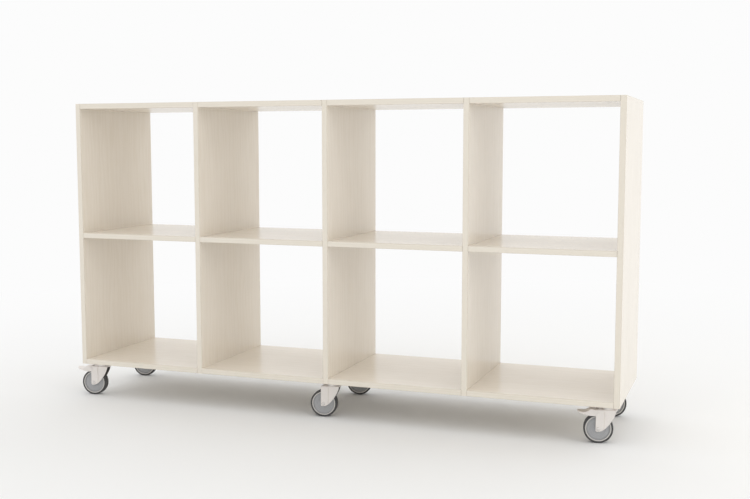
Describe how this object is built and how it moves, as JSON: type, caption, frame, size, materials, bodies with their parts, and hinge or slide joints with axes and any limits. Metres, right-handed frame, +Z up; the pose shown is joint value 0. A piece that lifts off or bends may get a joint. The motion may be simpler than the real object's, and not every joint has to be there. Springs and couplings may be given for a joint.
{
  "type": "rolling cube shelf",
  "caption": "Open cube shelf without a back: boards fitted between full-height uprights, carried on swivel casters, with a foot brake on each front corner caster.",
  "frame": {"origin": "on the floor, under the middle of the whole shelf's box, brake pedals included", "axes": "+X along the shelf, to the right as seen from the front; +Y to the rear, so the front faces -Y; +Z up"},
  "size_m": [1.7244, 0.4, 0.928],
  "materials": {
    "board": "pale, white-pigmented wood grain, satin",
    "zinc": "bright zinc plating on pressed sheet",
    "steel": "plain bright steel",
    "wheel_plastic": "mid grey, moulded",
    "tyre_rubber": "dark grey, matte"
  },
  "bodies": {
    "carcass": {"left_side_panel": "board", "left_divider": "board", "centre_divider": "board", "right_divider": "board", "right_side_panel": "board", "base_board_1": "board", "base_board_2": "board", "base_board_3": "board", "base_board_4": "board", "middle_shelf_1": "board", "middle_shelf_2": "board", "middle_shelf_3": "board", "middle_shelf_4": "board", "top_board_1": "board", "top_board_2": "board", "top_board_3": "board", "top_board_4": "board", "caster_plate_front_left": "zinc", "caster_plate_front_middle": "zinc", "caster_plate_front_right": "zinc", "caster_plate_rear_left": "zinc", "caster_plate_rear_middle": "zinc", "caster_plate_rear_right": "zinc", "kingpin_front_left": "steel", "kingpin_front_middle": "steel", "kingpin_front_right": "steel", "kingpin_rear_left": "steel", "kingpin_rear_middle": "steel", "kingpin_rear_right": "steel"},
    "swivel_front_left": {"fork_front_left": "zinc", "axle_front_left": "steel", "brake_pin_front_left": "steel"},
    "swivel_front_middle": {"fork_front_middle": "zinc", "axle_front_middle": "steel"},
    "swivel_front_right": {"fork_front_right": "zinc", "axle_front_right": "steel", "brake_pin_front_right": "steel"},
    "swivel_rear_left": {"fork_rear_left": "zinc", "axle_rear_left": "steel"},
    "swivel_rear_middle": {"fork_rear_middle": "zinc", "axle_rear_middle": "steel"},
    "swivel_rear_right": {"fork_rear_right": "zinc", "axle_rear_right": "steel"},
    "wheel_front_left": {"wheel_core_front_left": "wheel_plastic", "tyre_front_left": "tyre_rubber"},
    "wheel_front_middle": {"wheel_core_front_middle": "wheel_plastic", "tyre_front_middle": "tyre_rubber"},
    "wheel_front_right": {"wheel_core_front_right": "wheel_plastic", "tyre_front_right": "tyre_rubber"},
    "wheel_rear_left": {"wheel_core_rear_left": "wheel_plastic", "tyre_rear_left": "tyre_rubber"},
    "wheel_rear_middle": {"wheel_core_rear_middle": "wheel_plastic", "tyre_rear_middle": "tyre_rubber"},
    "wheel_rear_right": {"wheel_core_rear_right": "wheel_plastic", "tyre_rear_right": "tyre_rubber"},
    "pedal_front_left": {"brake_pedal_front_left": "zinc"},
    "pedal_front_right": {"brake_pedal_front_right": "zinc"}
  },
  "joints": [
    {"name": "swivel_front_left", "type": "hinge", "parent": "carcass", "child": "swivel_front_left", "pos_m": [-0.78082, -0.1465, 0.09225], "axis": [0, 0, 1], "continuous": true},
    {"name": "swivel_front_middle", "type": "hinge", "parent": "carcass", "child": "swivel_front_middle", "pos_m": [0.02218, -0.1465, 0.09225], "axis": [0, 0, 1], "continuous": true},
    {"name": "swivel_front_right", "type": "hinge", "parent": "carcass", "child": "swivel_front_right", "pos_m": [0.82518, -0.1465, 0.09225], "axis": [0, 0, 1], "continuous": true},
    {"name": "swivel_rear_left", "type": "hinge", "parent": "carcass", "child": "swivel_rear_left", "pos_m": [-0.78082, 0.1465, 0.09225], "axis": [0, 0, 1], "continuous": true},
    {"name": "swivel_rear_middle", "type": "hinge", "parent": "carcass", "child": "swivel_rear_middle", "pos_m": [0.02218, 0.1465, 0.09225], "axis": [0, 0, 1], "continuous": true},
    {"name": "swivel_rear_right", "type": "hinge", "parent": "carcass", "child": "swivel_rear_right", "pos_m": [0.82518, 0.1465, 0.09225], "axis": [0, 0, 1], "continuous": true},
    {"name": "wheel_spin_front_left", "type": "hinge", "parent": "swivel_front_left", "child": "wheel_front_left", "pos_m": [-0.80548, -0.15063, 0.04], "axis": [-0.165, 0.9863, 0], "continuous": true},
    {"name": "wheel_spin_front_middle", "type": "hinge", "parent": "swivel_front_middle", "child": "wheel_front_middle", "pos_m": [-0.00248, -0.15063, 0.04], "axis": [-0.165, 0.9863, 0], "continuous": true},
    {"name": "wheel_spin_front_right", "type": "hinge", "parent": "swivel_front_right", "child": "wheel_front_right", "pos_m": [0.80052, -0.15063, 0.04], "axis": [-0.165, 0.9863, 0], "continuous": true},
    {"name": "wheel_spin_rear_left", "type": "hinge", "parent": "swivel_rear_left", "child": "wheel_rear_left", "pos_m": [-0.80548, 0.14237, 0.04], "axis": [-0.165, 0.9863, 0], "continuous": true},
    {"name": "wheel_spin_rear_middle", "type": "hinge", "parent": "swivel_rear_middle", "child": "wheel_rear_middle", "pos_m": [-0.00248, 0.14237, 0.04], "axis": [-0.165, 0.9863, 0], "continuous": true},
    {"name": "wheel_spin_rear_right", "type": "hinge", "parent": "swivel_rear_right", "child": "wheel_rear_right", "pos_m": [0.80052, 0.14237, 0.04], "axis": [-0.165, 0.9863, 0], "continuous": true},
    {"name": "brake_front_left", "type": "hinge", "parent": "swivel_front_left", "child": "pedal_front_left", "pos_m": [-0.80568, -0.15066, 0.0855], "axis": [0.165, -0.9863, 0], "range_deg": [0, 12]},
    {"name": "brake_front_right", "type": "hinge", "parent": "swivel_front_right", "child": "pedal_front_right", "pos_m": [0.80032, -0.15066, 0.0855], "axis": [0.165, -0.9863, 0], "range_deg": [0, 12]}
  ]
}
